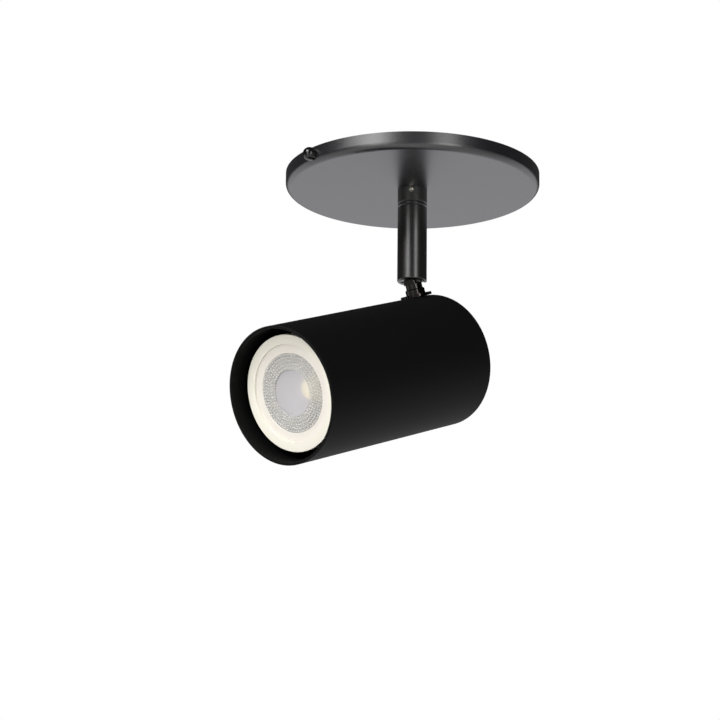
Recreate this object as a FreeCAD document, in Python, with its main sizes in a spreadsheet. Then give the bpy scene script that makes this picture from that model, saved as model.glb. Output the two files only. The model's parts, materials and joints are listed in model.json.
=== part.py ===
"""Surface-mounted ceiling spotlight: a shallow round canopy, a swivelling stem and a tilting
cylindrical head with a twist-lock reflector lamp.

Row frame, millimetres: the origin is the centre of the canopy's ceiling plane, +Z points up
into the ceiling, and the canopy screws lie on the Y axis. Three local frames are used:

* ceiling frame: the row frame itself, for what stays on the ceiling;
* stem frame: the ceiling frame turned about Z by stem_yaw, for what swivels;
* pivot frame: origin on the tilt pin, stud along -Z, for what is turned from it at the joint;
* mouth frame: origin where the head's axis leaves its mouth, +Z out of the mouth, +Y towards
  the stud, for the head's shell and all that stands in it.
"""

import FreeCAD
import Part
import math
import os
import re
import Sketcher

Vector = FreeCAD.Vector
Rotation = FreeCAD.Rotation
Placement = FreeCAD.Placement

# Driving dimensions: name, size, what it is. Millimetres and degrees.
SIZES = [
    ("canopy_dia", 116, "outer diameter of the pressed canopy"),
    ("canopy_height", 7.5, "ceiling plane to the canopy's lower face"),
    ("canopy_wall", 1.0, "sheet thickness of the canopy"),
    ("canopy_edge_radius", 2.8, "outer radius of the pressed lower edge"),
    ("bracket_thickness", 1.2, "sheet thickness of the crossbar"),
    ("bracket_width", 16, "width of the crossbar"),
    ("bracket_tab_gap", 1.1, "crossbar tab to the inside of the skirt"),
    ("bracket_tab_drop", 5.8, "ceiling plane to the tab's lower end"),
    ("bracket_wire_hole_dia", 14, "central hole for the supply leads"),
    ("ceiling_slot_spacing", 76, "centre to centre of the two ceiling slots"),
    ("ceiling_slot_length", 20, "end to end"),
    ("ceiling_slot_width", 4.5, "clears a 4 mm screw"),
    ("earth_screw_offset", 20, "earth screw from the middle of the crossbar"),
    ("earth_washer_dia", 7, "cupped washer under the earth screw"),
    ("earth_washer_thickness", 0.8, ""),
    ("canopy_screw_dia", 3, "thread of the thumb screw in the skirt"),
    ("canopy_screw_length", 6, "under the head"),
    ("canopy_screw_drop", 3.5, "ceiling plane to the thumb screw's axis"),
    ("thumb_head_dia", 6.0, "smooth ball-like head of the thumb screw"),
    ("thumb_head_height", 4.6, ""),
    ("thumb_head_radius", 2.8, "rounding that makes the ball"),
    ("tongue_width", 6, "crossbar's tongue that the skirt hooks on, opposite the screw"),
    ("hook_clearance", 0.3, "round the tongue in the skirt's slot"),
    ("earth_head_dia", 6.0, "pan head of the earth screw"),
    ("earth_head_height", 2.5, ""),
    ("cross_slot_width", 0.9, "cross recess"),
    ("cross_slot_length", 3.2, ""),
    ("cross_slot_depth", 1.1, ""),
    ("bolt_dia", 8, "hollow bolt through canopy and swivel"),
    ("bolt_bore_dia", 5.2, "lead way down the hollow bolt"),
    ("bolt_flange_dia", 10.4, "flange that carries the stem"),
    ("bolt_flange_height", 1.5, ""),
    ("bolt_proud", 0.5, "bolt above its nut"),
    ("bolt_nut_across", 12, "across flats"),
    ("bolt_nut_height", 2.4, ""),
    ("bolt_washer_dia", 14, "toothed washer inside the canopy"),
    ("bolt_washer_thickness", 0.8, ""),
    ("bolt_washer_teeth", 12, ""),
    ("stem_dia", 13.4, "outer diameter of collar, ring and stem"),
    ("stem_yaw", 7.1, "how far the stem is swivelled as drawn"),
    ("collar_length", 6.6, ""),
    ("groove_chamfer", 0.35, "bevels that make the two dark lines"),
    ("set_screw_dia", 2.5, "bright screw that locks the collar"),
    ("set_screw_drop", 1.5, "canopy to the set screw's axis"),
    ("set_screw_recess", 0.3, "screw below the collar's skin"),
    ("set_screw_azimuth", 316, "from +X, seen from above"),
    ("hex_socket_across", 1.5, "key hole of the set screw"),
    ("hex_socket_depth", 1.2, ""),
    ("ring_height", 1.7, "friction ring between collar and stem"),
    ("stem_length", 35.4, "ring to the stem's lower end"),
    ("stem_wall", 1.3, ""),
    ("stem_top_wall", 3.0, ""),
    ("stem_end_radius", 0.9, "rounding of the lower end"),
    ("spring_washer_thickness", 0.6, "between bolt flange and stem"),
    ("fork_length", 17, "plug in the stem's lower end"),
    ("fork_bore_dia", 5.6, "lead way through the plug"),
    ("slot_width", 8.2, "tilt slot in fork and stem"),
    ("pivot_rise", 2.4, "stem's lower end to the tilt pin"),
    ("pin_dia", 2.5, ""),
    ("running_clearance", 0.05, "radial, pin and bolt in what turns on them"),
    ("free_clearance", 0.4, "round what swings in the slot"),
    ("hole_clearance", 0.15, "radial, screws in plain holes"),
    ("head_tilt", 19.7, "head below the horizontal as drawn"),
    ("tongue_thickness", 6.8, "knuckle between its friction washers"),
    ("tongue_radius", 3.4, ""),
    ("tongue_edge_radius", 1.2, ""),
    ("friction_washer_dia", 5.6, ""),
    ("neck_drop", 3.2, "pin axis to where the flat tongue meets the round neck"),
    ("neck_dia", 7.5, "polished neck below the stem"),
    ("shoulder_drop", 5.4, "pin axis to the knuckle's shoulder"),
    ("shoulder_dia", 8.8, ""),
    ("shoulder_across", 7.4, "across the shoulder's two flats, which enter the slot"),
    ("shoulder_height", 2.6, ""),
    ("shoulder_chamfer", 0.4, ""),
    ("stud_dia", 6, "threaded end of the knuckle"),
    ("stud_bore_dia", 3.4, "lead way down the knuckle"),
    ("stud_proud", 0.6, "stud past its nut"),
    ("washer_dia", 14.2, "toothed washer on the head"),
    ("washer_thickness", 1.2, ""),
    ("washer_teeth", 30, ""),
    ("tooth_gap", 0.7, "width of a notch between teeth"),
    ("tooth_depth", 1.1, ""),
    ("stud_nut_across", 9, "across flats, so that it clears the closed end"),
    ("stud_nut_height", 3, ""),
    ("head_dia", 60, "outer diameter of the head"),
    ("head_length", 106.6, ""),
    ("head_wall", 1.3, ""),
    ("head_back_radius", 1.5, "rounding of the closed end"),
    ("mouth_chamfer", 0.3, ""),
    ("mouth_to_stud", 100.5, "mouth to the stud's axis"),
    ("lamp_inset", 6.6, "mouth to the lamp's rim"),
    ("lamp_dia", 50.5, ""),
    ("lamp_length", 47, "rim to the base's end face, without pins"),
    ("lamp_rim_height", 5, "straight part behind the rim"),
    ("lamp_rim_width", 4.1, "white band round the lens"),
    ("lamp_wall", 1.4, ""),
    ("lamp_waist_dia", 34, "where the cup meets the base"),
    ("lamp_waist_depth", 31, "rim to waist"),
    ("lamp_base_dia", 26, ""),
    ("lamp_base_length", 11, ""),
    ("lens_recess", 0.9, "rim to the lens's face"),
    ("lens_thickness", 1.8, ""),
    ("lens_ring_inner_dia", 17, "clear middle of the lens"),
    ("lens_ring_pitch", 1.7, "from one ring of facets to the next"),
    ("lens_ring_depth", 0.45, ""),
    ("lens_ring_count", 6, ""),
    ("collimator_dia", 9, "small end of the lens's cone"),
    ("board_depth", 14, "rim to the light-emitting board"),
    ("board_thickness", 1.2, ""),
    ("chip_dia", 8.6, "yellow phosphor disc"),
    ("chip_thickness", 0.8, ""),
    ("pin_spacing", 10, "lamp pins, centre to centre"),
    ("pin_neck_dia", 3, ""),
    ("pin_neck_length", 4.4, ""),
    ("pin_head_dia", 5, ""),
    ("pin_head_length", 2.6, ""),
    ("holder_dia", 27, "ceramic lamp holder"),
    ("holder_length", 17, ""),
    ("holder_face", 3.4, "wall in front of the contact chamber"),
    ("holder_chamber", 6, "depth of the contact chamber"),
    ("lamp_twist", 20, "turn that locks the lamp"),
    ("holder_screw_dia", 3, ""),
    ("holder_screw_spacing", 20, ""),
    ("holder_screw_length", 6, ""),
    ("holder_screw_head_dia", 5.4, ""),
    ("holder_screw_head_height", 2, ""),
    ("strap_thickness", 1.5, "bracket that carries the lamp holder"),
    ("strap_width", 12, ""),
    ("strap_below_axis", 13.5, ""),
    ("strap_tail", 4.3, "strap behind the stud's axis"),
    ("strap_bend_radius", 2, ""),
    ("strap_wire_hole_dia", 6, ""),
]

doc = FreeCAD.newDocument("CeilingSpotlight")
sheet = doc.addObject("Spreadsheet::Sheet", "Sizes")
for row, (alias, size, note) in enumerate(SIZES, start=1):
    sheet.set(f"A{row}", alias)
    sheet.set(f"B{row}", str(size))
    sheet.set(f"C{row}", note)
    sheet.setAlias(f"B{row}", alias)
doc.recompute()

NAMES = {alias for alias, size, note in SIZES}
parts = {}


def bound(text):
    """The expression with each size's name pointed at the sheet."""
    return re.sub("[a-z_]+", lambda word: f"Sizes.{word[0]}" if word[0] in NAMES else word[0], text)


def value(text):
    """What an expression over the sheet comes to."""
    return float(sheet.evalExpression(bound(text)))


def bind(thing, **settings):
    """Binds properties of a feature to expressions; a dot in a name is written as two underscores."""
    for name, text in settings.items():
        thing.setExpression(name.replace("__", "."), bound(text))
    return thing


# ---------------------------------------------------------------- sketches and features


def new_body(name):
    body = doc.addObject("PartDesign::Body", name)
    body.Label = name
    parts[name] = body
    return body


def origin_plane(body, role):
    return next(f for f in body.Origin.OriginFeatures if f.Role == role)


def new_sketch(body, role="XZ_Plane", lift=None):
    """A sketch on one of the body's own planes, raised along the plane's normal by lift."""
    sketch = body.newObject("Sketcher::SketchObject", "Outline")
    sketch.AttachmentSupport = (origin_plane(body, role), [""])
    sketch.MapMode = "FlatFace"
    if lift:
        bind(sketch, AttachmentOffset__Base__z=lift)
    return sketch


def pin_point(sketch, geometry, point, across, up):
    """Holds one point of a sketch at a place given by two expressions."""
    for kind, text, axis in (("DistanceX", across, -2), ("DistanceY", up, -1)):
        if text == "0":
            sketch.addConstraint(Sketcher.Constraint("PointOnObject", geometry, point, axis))
        else:
            number = sketch.addConstraint(
                Sketcher.Constraint(kind, -1, 1, geometry, point, value(text))
            )
            sketch.setExpression(f"Constraints[{number}]", bound(text))


def polygon(sketch, corners):
    """A closed outline with straight sides; each corner is a pair of expressions."""
    places = [Vector(value(across), value(up), 0) for across, up in corners]
    first = sketch.GeometryCount
    count = len(corners)
    for index, place in enumerate(places):
        sketch.addGeometry(Part.LineSegment(place, places[(index + 1) % count]))
    for index in range(count):
        following = first + (index + 1) % count
        sketch.addConstraint(Sketcher.Constraint("Coincident", first + index, 2, following, 1))
    for index, (across, up) in enumerate(corners):
        pin_point(sketch, first + index, 1, across, up)


def circle(sketch, diameter, across="0", up="0"):
    centre = Vector(value(across), value(up), 0)
    edge = sketch.addGeometry(Part.Circle(centre, Vector(0, 0, 1), value(diameter) / 2))
    pin_point(sketch, edge, 3, across, up)
    number = sketch.addConstraint(Sketcher.Constraint("Diameter", edge, value(diameter)))
    sketch.setExpression(f"Constraints[{number}]", bound(diameter))


def hexagon(sketch, across_flats):
    """A regular hexagon about the sketch's origin, with two sides parallel to the first axis."""
    half = f"{across_flats} / 2"
    side = f"{across_flats} / 2 / 1.7320508"
    polygon(
        sketch,
        [
            (f"0 - 2 * {side}", "0"),
            (f"0 - {side}", f"0 - {half}"),
            (side, f"0 - {half}"),
            (f"2 * {side}", "0"),
            (side, half),
            (f"0 - {side}", half),
        ],
    )


def long_hole(sketch, middle, length, width):
    """A slot with round ends that runs along the sketch's second axis, centred at (0, middle)."""
    reach = f"({length} - {width}) / 2"
    low, high = f"{middle} - {reach}", f"{middle} + {reach}"
    half = value(width) / 2
    up = Vector(0, 0, 1)
    ends = []
    for level, start in ((high, 0), (low, math.pi)):
        round_end = Part.Circle(Vector(0, value(level), 0), up, half)
        arc = sketch.addGeometry(Part.ArcOfCircle(round_end, start, start + math.pi))
        pin_point(sketch, arc, 3, "0", level)
        ends.append(arc)
    for side, (first, second) in ((-1, (2, 1)), (1, (1, 2))):
        line = sketch.addGeometry(
            Part.LineSegment(
                Vector(side * half, value(high), 0), Vector(side * half, value(low), 0)
            )
        )
        sketch.addConstraint(Sketcher.Constraint("Tangent", ends[0], first, line, 1))
        sketch.addConstraint(Sketcher.Constraint("Tangent", line, 2, ends[1], second))
    number = sketch.addConstraint(Sketcher.Constraint("Radius", ends[0], half))
    sketch.setExpression(f"Constraints[{number}]", bound(f"{width} / 2"))


def revolve(body, corners):
    """Turns an outline in the XZ plane about Z: a lathe part."""
    sketch = new_sketch(body)
    polygon(sketch, corners)
    turned = body.newObject("PartDesign::Revolution", "Turned")
    turned.Profile = sketch
    turned.ReferenceAxis = (sketch, ["V_Axis"])
    turned.Angle = 360
    doc.recompute()
    return turned


def pad(body, sketch, length, both_ways=False, downwards=False):
    feature = body.newObject("PartDesign::Pad", "Pad")
    feature.Profile = sketch
    bind(feature, Length=length)
    feature.Midplane = both_ways
    feature.Reversed = downwards
    doc.recompute()
    return feature


def pocket(body, sketch, depth=None, reverse=False, both_ways=False):
    """Cuts a sketch out of its body, through all of it if no depth is given."""
    before = body.Shape.Volume
    feature = body.newObject("PartDesign::Pocket", "Pocket")
    feature.Profile = sketch
    feature.Midplane = both_ways
    feature.Reversed = reverse
    if depth is None:
        feature.Type = "ThroughAll"
    else:
        feature.Type = "Length"
        bind(feature, Length=depth)
    doc.recompute()
    if not body.Shape.Volume < before:
        raise RuntimeError(f"{body.Label}: a pocket cut nothing")
    return feature


def ring_edges(body, diameter, level):
    """Names of the body's round edges of that diameter about Z at that height."""
    radius, height = value(diameter) / 2, value(level)
    near = 1e-4
    found = []
    for index, edge in enumerate(body.Shape.Edges, start=1):
        curve = edge.Curve
        if isinstance(curve, Part.Circle) and abs(curve.Radius - radius) < near:
            centre = curve.Center
            if abs(centre.z - height) < near and math.hypot(centre.x, centre.y) < near:
                found.append(f"Edge{index}")
    if not found:
        raise RuntimeError(f"{body.Label}: no edge {diameter} at {level}")
    return found


def dress(body, kind, size, edges):
    """A fillet or a chamfer on the named edges of the body as it stands."""
    feature = body.newObject(f"PartDesign::{kind}", kind)
    feature.Base = (body.Tip if body.Tip != feature else feature.BaseFeature, edges)
    bind(feature, **{"Radius" if kind == "Fillet" else "Size": size})
    doc.recompute()
    return feature


def round_edges(body, size, *rings):
    edges = [name for ring in rings for name in ring_edges(body, *ring)]
    return dress(body, "Fillet", size, edges)


def bevel_edges(body, size, *rings):
    edges = [name for ring in rings for name in ring_edges(body, *ring)]
    return dress(body, "Chamfer", size, edges)


def repeat_round(body, feature, count):
    """Repeats a feature about Z."""
    pattern = body.newObject("PartDesign::PolarPattern", "Pattern")
    pattern.Originals = [feature]
    pattern.Axis = (feature.Profile[0], ["N_Axis"])
    pattern.Angle = 360
    bind(pattern, Occurrences=count)
    body.Tip = pattern
    doc.recompute()
    return pattern


def cross_recess(body, face):
    """A cross recess cut down from the height of the face."""
    for across, along in (
        ("cross_slot_width", "cross_slot_length"),
        ("cross_slot_length", "cross_slot_width"),
    ):
        sketch = new_sketch(body, "XY_Plane", face)
        x, y = f"{across} / 2", f"{along} / 2"
        polygon(sketch, [(f"0 - {x}", f"0 - {y}"), (x, f"0 - {y}"), (x, y), (f"0 - {x}", y)])
        pocket(body, sketch, "cross_slot_depth")


def domed_screw(name, head_dia, head_height, dome_radius, thread_dia, length):
    """A screw with a rounded head, its seat at the origin and its head on +Z."""
    body = new_body(name)
    revolve(
        body,
        [
            ("0", f"0 - ({length})"),
            (f"{thread_dia} / 2", f"0 - ({length})"),
            (f"{thread_dia} / 2", "0"),
            (f"{head_dia} / 2", "0"),
            (f"{head_dia} / 2", head_height),
            ("0", head_height),
        ],
    )
    round_edges(body, dome_radius, (head_dia, head_height))
    return body


def toothed_washer(name, outer, inner, thickness, teeth):
    """A washer with teeth round its rim, its lower face at the origin."""
    body = new_body(name)
    sketch = new_sketch(body, "XY_Plane")
    circle(sketch, outer)
    circle(sketch, inner)
    pad(body, sketch, thickness)
    notch = new_sketch(body, "XY_Plane")
    left, right = "0 - tooth_gap / 2", "tooth_gap / 2"
    floor, outside = f"{outer} / 2 - tooth_depth", f"{outer} / 2 + tooth_depth"
    polygon(notch, [(left, floor), (right, floor), (right, outside), (left, outside)])
    cut = pocket(body, notch, reverse=True)
    repeat_round(body, cut, teeth)
    return body


def nut(name, across, height, bore):
    """A plain hexagon nut, its lower face at the origin."""
    body = new_body(name)
    sketch = new_sketch(body, "XY_Plane")
    hexagon(sketch, across)
    circle(sketch, bore)
    pad(body, sketch, height)
    return body


def cylinder(name, diameter, height, x="0", y="0", z="0", angle=None):
    """A Part cylinder, or a sector of one, standing at (x, y, z)."""
    solid = doc.addObject("Part::Cylinder", name)
    bind(
        solid,
        Radius=f"({diameter}) / 2",
        Height=height,
        Placement__Base__x=x,
        Placement__Base__y=y,
        Placement__Base__z=z,
    )
    if angle:
        bind(solid, Angle=angle)
    return solid


def subtract(name, base, tools):
    """The base less all the tools, as one Part cut."""
    tool = tools[0]
    if len(tools) > 1:
        tool = doc.addObject("Part::MultiFuse", f"{name}_tools")
        tool.Shapes = tools
    cut = doc.addObject("Part::Cut", name)
    cut.Base, cut.Tool = base, tool
    cut.Label = name
    parts[name] = cut
    doc.recompute()
    return cut


# ---------------------------------------------------------------- what stays on the ceiling


def make_canopy():
    """A pressed pan, open towards the ceiling: the bolt's hole, a screw hole in front, a slot behind."""
    body = new_body("canopy_cover")
    hole = "bolt_dia / 2 + hole_clearance"
    rim, floor = "canopy_dia / 2", "0 - canopy_height"
    inner, inner_floor = "canopy_dia / 2 - canopy_wall", "canopy_wall - canopy_height"
    revolve(
        body,
        [
            (hole, floor),
            (rim, floor),
            (rim, "0"),
            (inner, "0"),
            (inner, inner_floor),
            (hole, inner_floor),
        ],
    )
    round_edges(body, "canopy_edge_radius", ("canopy_dia", floor))
    inner_dia = "canopy_dia - 2 * canopy_wall"
    round_edges(body, "canopy_edge_radius - canopy_wall", (inner_dia, inner_floor))
    front = new_sketch(body, "XZ_Plane")
    circle(front, "canopy_screw_dia + 2 * hole_clearance", "0", "0 - canopy_screw_drop")
    pocket(body, front, reverse=True)
    rear = new_sketch(body, "XZ_Plane")
    half = "tongue_width / 2 + hook_clearance"
    high = "bracket_thickness / 2 + hook_clearance - canopy_screw_drop"
    low = "0 - bracket_thickness / 2 - hook_clearance - canopy_screw_drop"
    polygon(rear, [(f"0 - ({half})", low), (half, low), (half, high), (f"0 - ({half})", high)])
    pocket(body, rear)


TAB_FACE = "canopy_dia / 2 - canopy_wall - bracket_tab_gap"


def make_bracket():
    """The crossbar: a strip with its ends bent down, one tapped, one with a tongue for the skirt."""
    body = new_body("mounting_bracket")
    profile = new_sketch(body, "YZ_Plane")
    inner = f"{TAB_FACE} - bracket_thickness"
    tip, under = "0 - bracket_tab_drop", "0 - bracket_thickness"
    polygon(
        profile,
        [
            (f"0 - ({TAB_FACE})", "0"),
            (f"0 - ({TAB_FACE})", tip),
            (f"0 - ({inner})", tip),
            (f"0 - ({inner})", under),
            (inner, under),
            (inner, tip),
            (TAB_FACE, tip),
            (TAB_FACE, "0"),
        ],
    )
    pad(body, profile, "bracket_width", both_ways=True)
    holes = new_sketch(body, "XY_Plane")
    circle(holes, "bracket_wire_hole_dia")
    circle(holes, "canopy_screw_dia", "0", "earth_screw_offset")
    for middle in ("ceiling_slot_spacing / 2", "0 - ceiling_slot_spacing / 2"):
        long_hole(holes, middle, "ceiling_slot_length", "ceiling_slot_width")
    pocket(body, holes)
    tapped = new_sketch(body, "XZ_Plane")
    circle(tapped, "canopy_screw_dia", "0", "0 - canopy_screw_drop")
    pocket(body, tapped, reverse=True)
    tongue = new_sketch(body, "XY_Plane", "0 - bracket_thickness / 2 - canopy_screw_drop")
    half, root, tip = "tongue_width / 2", f"{TAB_FACE} - bracket_thickness / 2", "canopy_dia / 2"
    corners = [(f"0 - {half}", root), (half, root), (half, tip), (f"0 - {half}", tip)]
    polygon(tongue, [(x, f"{y} - hook_clearance" if y == tip else y) for x, y in corners])
    pad(body, tongue, "bracket_thickness")


def make_thumb_screw():
    """The smooth round-headed screw that passes the skirt and holds it to the crossbar's tab."""
    screw = domed_screw(
        "canopy_screw",
        "thumb_head_dia",
        "thumb_head_height",
        "thumb_head_radius",
        "canopy_screw_dia",
        "canopy_screw_length",
    )
    outwards = Rotation(Vector(0, 0, 1), Vector(0, -1, 0))
    seat = Vector(0, -value("canopy_dia / 2"), -value("canopy_screw_drop"))
    screw.Placement = Placement(seat, outwards)


def make_earth_terminal():
    """A screw and its washer under the crossbar, where the earth lead is clamped."""
    offset, under = value("earth_screw_offset"), -value("bracket_thickness")
    washer = new_body("earth_washer")
    sketch = new_sketch(washer, "XY_Plane")
    circle(sketch, "earth_washer_dia")
    circle(sketch, "canopy_screw_dia + 2 * hole_clearance")
    pad(washer, sketch, "earth_washer_thickness")
    bottom = under - value("earth_washer_thickness")
    washer.Placement = Placement(Vector(0, offset, bottom), Rotation())
    screw = domed_screw(
        "earth_screw",
        "earth_head_dia",
        "earth_head_height",
        "earth_head_height * 0.7",
        "canopy_screw_dia",
        "earth_washer_thickness + bracket_thickness",
    )
    cross_recess(screw, "earth_head_height")
    head_down = Rotation(Vector(1, 0, 0), 180)
    screw.Placement = Placement(Vector(0, offset, bottom), head_down)


COLLAR_END = "canopy_height + collar_length"
STEM_TOP = f"{COLLAR_END} + ring_height"
BOLT_TOP = "canopy_height - canopy_wall - bolt_washer_thickness - bolt_nut_height - bolt_proud"
SHOULDER = f"{STEM_TOP} + stem_top_wall"
FLANGE_TOP = f"{SHOULDER} + spring_washer_thickness"


def make_hollow_bolt():
    """The flanged hollow bolt: it carries the stem, and the leads run down it."""
    body = new_body("hollow_bolt")
    bore, shank, flange = "bolt_bore_dia / 2", "bolt_dia / 2", "bolt_flange_dia / 2"
    top, seat = f"0 - ({BOLT_TOP})", f"0 - ({FLANGE_TOP})"
    end = f"{seat} - bolt_flange_height"
    corners = [(bore, end), (flange, end), (flange, seat), (shank, seat), (shank, top), (bore, top)]
    revolve(body, corners)
    bevel_edges(body, "groove_chamfer", ("bolt_dia", top), ("bolt_flange_dia", end))


def make_bolt_fixings():
    """The toothed washer and the nut that hold the hollow bolt inside the canopy."""
    floor = value("canopy_wall - canopy_height")
    washer = toothed_washer(
        "bolt_washer",
        "bolt_washer_dia",
        "bolt_dia + 2 * running_clearance",
        "bolt_washer_thickness",
        "bolt_washer_teeth",
    )
    washer.Placement = Placement(Vector(0, 0, floor), Rotation())
    fixing = nut("bolt_nut", "bolt_nut_across", "bolt_nut_height", "bolt_dia")
    level = floor + value("bolt_washer_thickness")
    fixing.Placement = Placement(Vector(0, 0, level), Rotation())


def make_collar():
    """The fixed upper collar, locked on the hollow bolt by its set screw."""
    body = new_body("swivel_collar")
    bore, skin = "bolt_dia / 2", "stem_dia / 2"
    top, end = "0 - canopy_height", f"0 - ({COLLAR_END})"
    revolve(body, [(bore, end), (skin, end), (skin, top), (bore, top)])
    bevel_edges(body, "groove_chamfer", ("stem_dia", end))
    hole = new_sketch(body, "YZ_Plane")
    circle(hole, "set_screw_dia", "0", "0 - canopy_height - set_screw_drop")
    pocket(body, hole, "stem_dia", reverse=True)
    body.Placement = Placement(Vector(), Rotation(Vector(0, 0, 1), value("set_screw_azimuth")))


def make_set_screw():
    """A cup-point screw with a hexagon socket, its axis on +Z here."""
    body = new_body("set_screw")
    sketch = new_sketch(body, "XY_Plane", "bolt_dia / 2")
    circle(sketch, "set_screw_dia")
    pad(body, sketch, "stem_dia / 2 - set_screw_recess - bolt_dia / 2")
    socket = new_sketch(body, "XY_Plane", "stem_dia / 2 - set_screw_recess")
    hexagon(socket, "hex_socket_across")
    pocket(body, socket, "hex_socket_depth")
    angle = math.radians(value("set_screw_azimuth"))
    outwards = Rotation(Vector(0, 0, 1), Vector(math.cos(angle), math.sin(angle), 0))
    level = -value("canopy_height + set_screw_drop")
    body.Placement = Placement(Vector(0, 0, level), outwards)


def make_friction_ring():
    """The ring between the collar and the stem, bevelled on both edges."""
    body = new_body("friction_ring")
    bore, skin = "bolt_dia / 2 + running_clearance", "stem_dia / 2"
    top, end = f"0 - ({COLLAR_END})", f"0 - ({STEM_TOP})"
    revolve(body, [(bore, end), (skin, end), (skin, top), (bore, top)])
    bevel_edges(body, "groove_chamfer", ("stem_dia", top), ("stem_dia", end))


# ---------------------------------------------------------------- what swivels


STEM_END = f"{STEM_TOP} + stem_length"
PIVOT_DEPTH = f"{STEM_END} - pivot_rise"
SLOT_FRONT = "tongue_radius + free_clearance"
SLOT_TOP = "shoulder_dia / 2 + free_clearance"


def swivelled(body):
    body.Placement = Placement(Vector(), Rotation(Vector(0, 0, 1), value("stem_yaw")))


def cut_slot(body, front):
    """Cuts the tilt slot, from the front expression out through the back."""
    slot = new_sketch(body, "XY_Plane", f"0 - ({STEM_END})")
    half, back = "slot_width / 2", "stem_dia"
    corners = [(f"0 - {half}", front), (half, front), (half, back), (f"0 - {half}", back)]
    polygon(slot, corners)
    pocket(body, slot, f"pivot_rise + {SLOT_TOP}", reverse=True)


def make_stem():
    """The turned tube; its slot faces backwards, so the head can swing up to vertical."""
    body = new_body("stem_tube")
    skin, bore = "stem_dia / 2", "stem_dia / 2 - stem_wall"
    neck = "bolt_dia / 2 + running_clearance"
    top, shoulder, end = f"0 - ({STEM_TOP})", f"0 - ({SHOULDER})", f"0 - ({STEM_END})"
    corners = [(bore, end), (skin, end), (skin, top), (neck, top), (neck, shoulder), (bore, shoulder)]
    revolve(body, corners)
    bevel_edges(body, "groove_chamfer", ("stem_dia", top))
    round_edges(body, "stem_end_radius", ("stem_dia", end))
    cut_slot(body, "0")
    swivelled(body)


def make_spring_washer():
    """A thin washer that keeps the swivel stiff, between the bolt's flange and the stem."""
    body = new_body("spring_washer")
    inner, outer = "bolt_dia / 2 + running_clearance", "bolt_flange_dia / 2"
    top, end = f"0 - ({SHOULDER})", f"0 - ({FLANGE_TOP})"
    revolve(body, [(inner, end), (outer, end), (outer, top), (inner, top)])


def make_fork():
    """The plug pressed into the stem's lower end, slotted for the knuckle and bored for the pin."""
    body = new_body("pivot_fork")
    skin, bore = "stem_dia / 2 - stem_wall", "fork_bore_dia / 2"
    end, top = f"0 - ({STEM_END})", f"fork_length - ({STEM_END})"
    revolve(body, [(bore, end), (skin, end), (skin, top), (bore, top)])
    cut_slot(body, f"0 - ({SLOT_FRONT})")
    hole = new_sketch(body, "YZ_Plane")
    circle(hole, "pin_dia", "0", f"0 - ({PIVOT_DEPTH})")
    pocket(body, hole, both_ways=True)
    swivelled(body)


def at_pivot(body, turned=Rotation()):
    """Places a body of the pivot frame that doesn't tilt with the head."""
    yaw = Placement(Vector(), Rotation(Vector(0, 0, 1), value("stem_yaw")))
    body.Placement = yaw.multiply(Placement(Vector(0, 0, -value(PIVOT_DEPTH)), turned))


def make_tilt_pin():
    """The pin across the fork. The stem tube hides its ends."""
    body = new_body("tilt_pin")
    sketch = new_sketch(body, "YZ_Plane")
    circle(sketch, "pin_dia")
    # The tube is round, so the pin ends where its rim would meet the tube's bore.
    bore, pin = value("stem_dia / 2 - stem_wall"), value("pin_dia / 2")
    pad(body, sketch, str(2 * math.sqrt(bore**2 - pin**2)), both_ways=True)
    at_pivot(body)


def make_friction_washers():
    """One washer each side of the knuckle; they make the tilt stay where it is put."""
    for name, side in (("friction_washer_left", -1), ("friction_washer_right", 1)):
        body = new_body(name)
        middle = f"{side} * (tongue_thickness + slot_width + 2 * running_clearance) / 4"
        sketch = new_sketch(body, "YZ_Plane", middle)
        circle(sketch, "friction_washer_dia")
        circle(sketch, "pin_dia + 2 * running_clearance")
        thickness = "(slot_width - tongue_thickness) / 2 - running_clearance"
        pad(body, sketch, thickness, both_ways=True)
        at_pivot(body)


# ---------------------------------------------------------------- what tilts: joint hardware


WASHER_TOP = "shoulder_drop + shoulder_height"
HEAD_SKIN = f"{WASHER_TOP} + washer_thickness"
HEAD_AXIS = f"{HEAD_SKIN} + head_dia / 2"


def tilted(body, offset=Vector(), turned=Rotation()):
    """Places a body of the pivot frame that tilts with the head."""
    yaw = Placement(Vector(), Rotation(Vector(0, 0, 1), value("stem_yaw")))
    pivot = Placement(
        Vector(0, 0, -value(PIVOT_DEPTH)), Rotation(Vector(1, 0, 0), value("head_tilt"))
    )
    body.Placement = yaw.multiply(pivot).multiply(Placement(offset, turned))


def strap_top():
    """How far from the head's axis a flat strap lies that touches the round shell."""
    return math.sqrt(value("head_dia / 2 - head_wall") ** 2 - value("strap_width / 2") ** 2)


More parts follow.
